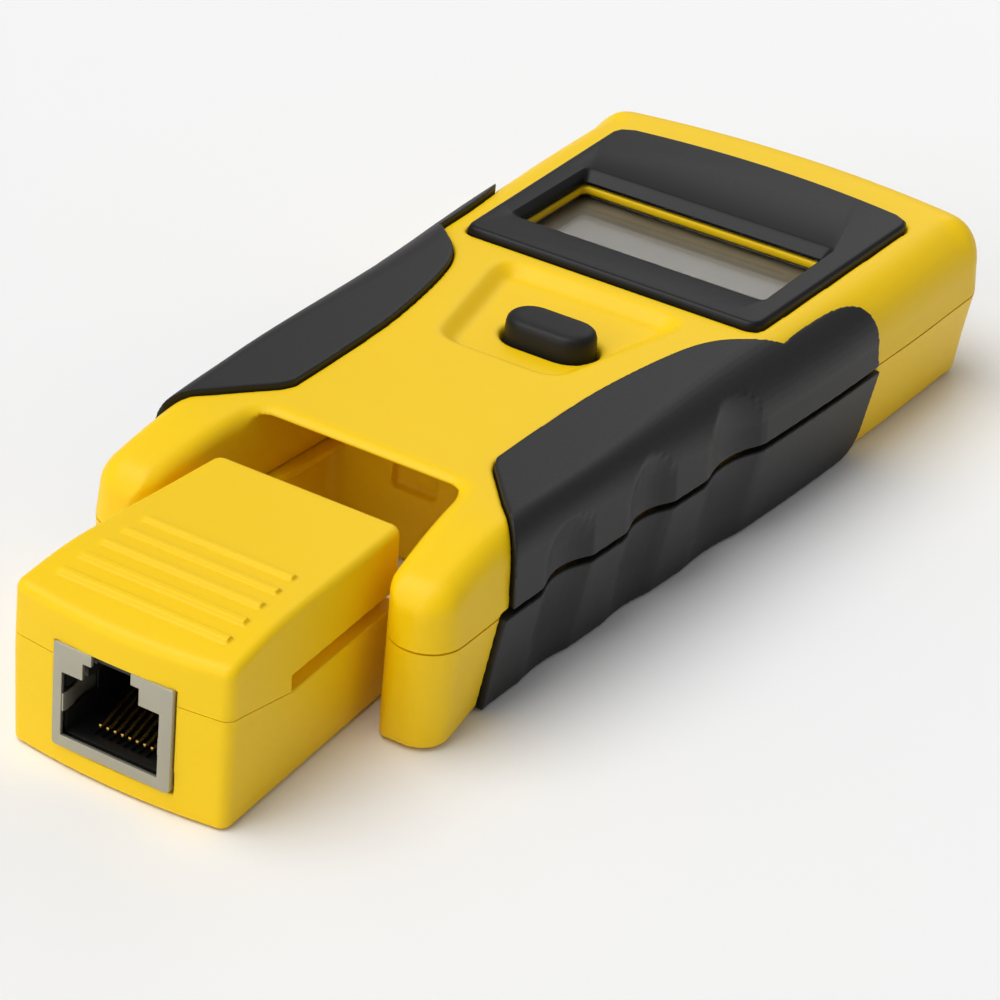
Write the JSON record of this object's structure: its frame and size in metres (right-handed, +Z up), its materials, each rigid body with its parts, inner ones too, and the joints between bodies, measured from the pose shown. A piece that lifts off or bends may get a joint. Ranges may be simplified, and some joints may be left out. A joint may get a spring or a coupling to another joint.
{
  "type": "network cable tester",
  "caption": "Hand-held network cable tester: waisted yellow case with black grips, display, button, and a remote unit with a modular jack sliding between two arms.",
  "frame": {"origin": "centre of the whole tester's base on the surface it lies on, with the remote drawn out as in the picture", "axes": "+Y from the remote towards the display end, along the tester; +Z up, out of the display; +X to the right as the display is read from the remote's end"},
  "size_m": [0.0632, 0.1632, 0.0251],
  "materials": {
    "yellow_abs": "satin moulded yellow ABS",
    "grip_rubber": "matte black soft-touch rubber with a fine grain",
    "bezel_black": "satin black",
    "lens_clear": "clear polished window",
    "lcd_grey": "grey-brown reflective LCD glass, switched off",
    "frame_white": "white moulded",
    "zebra_black": "matte black conductive elastomer",
    "button_rubber": "matte black",
    "switch_steel": "bright pressed sheet",
    "switch_black": "matte black",
    "board_green": "green solder mask",
    "chip_black": "matte black epoxy",
    "cell_wrap": "glossy printed wrap, plain",
    "contact_steel": "nickel-plated spring steel",
    "screw_steel": "zinc-plated",
    "jack_metal": "nickel-plated, slightly warm satin",
    "jack_black": "black moulded",
    "contact_gold": "gold-plated"
  },
  "bodies": {
    "tester": {"upper_shell": "yellow_abs", "lower_shell": "yellow_abs", "grip_upper_right": "grip_rubber", "grip_upper_left": "grip_rubber", "grip_lower_right": "grip_rubber", "grip_lower_left": "grip_rubber", "display_bezel": "bezel_black", "display_lens": "lens_clear", "lcd_panel": "lcd_grey", "lcd_holder": "frame_white", "zebra_strip_front": "zebra_black", "zebra_strip_rear": "zebra_black", "switch_base": "switch_steel", "main_board": "board_green", "controller_chip": "chip_black", "signal_chip": "chip_black", "battery_cell_1": "cell_wrap", "battery_cell_2": "cell_wrap", "battery_spring_1": "contact_steel", "battery_spring_2": "contact_steel", "battery_plate_front": "contact_steel", "battery_plate_rear_left": "contact_steel", "battery_plate_rear_right": "contact_steel", "case_screw_1": "screw_steel", "case_screw_2": "screw_steel", "case_screw_3": "screw_steel", "case_screw_4": "screw_steel", "main_jack_shield": "jack_metal", "main_jack_housing": "jack_black", "main_jack_contact_1": "contact_gold", "main_jack_contact_2": "contact_gold", "main_jack_contact_3": "contact_gold", "main_jack_contact_4": "contact_gold", "main_jack_contact_5": "contact_gold", "main_jack_contact_6": "contact_gold", "main_jack_contact_7": "contact_gold", "main_jack_contact_8": "contact_gold"},
    "remote": {"remote_upper_shell": "yellow_abs", "remote_lower_shell": "yellow_abs", "remote_board": "board_green", "remote_id_chip": "chip_black", "remote_screw_1": "screw_steel", "remote_screw_2": "screw_steel", "remote_jack_shield": "jack_metal", "remote_jack_housing": "jack_black", "remote_jack_contact_1": "contact_gold", "remote_jack_contact_2": "contact_gold", "remote_jack_contact_3": "contact_gold", "remote_jack_contact_4": "contact_gold", "remote_jack_contact_5": "contact_gold", "remote_jack_contact_6": "contact_gold", "remote_jack_contact_7": "contact_gold", "remote_jack_contact_8": "contact_gold"},
    "button": {"test_button": "button_rubber"},
    "plunger": {"switch_plunger": "switch_black"},
    "door": {"battery_door": "yellow_abs"}
  },
  "joints": [
    {"name": "remote_slide", "type": "slide", "parent": "tester", "child": "remote", "axis": [0, -1, 0], "range_m": [-0.0249, 0.015]},
    {"name": "button_press", "type": "slide", "parent": "tester", "child": "button", "axis": [0, 0, -1], "range_m": [0, 0.0005], "stiffness_N_per_m": 1500},
    {"name": "plunger_press", "type": "slide", "parent": "tester", "child": "plunger", "axis": [0, 0, -1], "range_m": [0, 0.00025]},
    {"name": "door_off", "type": "slide", "parent": "tester", "child": "door", "axis": [0, 0, -1], "range_m": [0, 0.012]}
  ],
  "couplings": [
    {"joint": "plunger_press", "follows": "button_press", "ratio": 0.5}
  ]
}
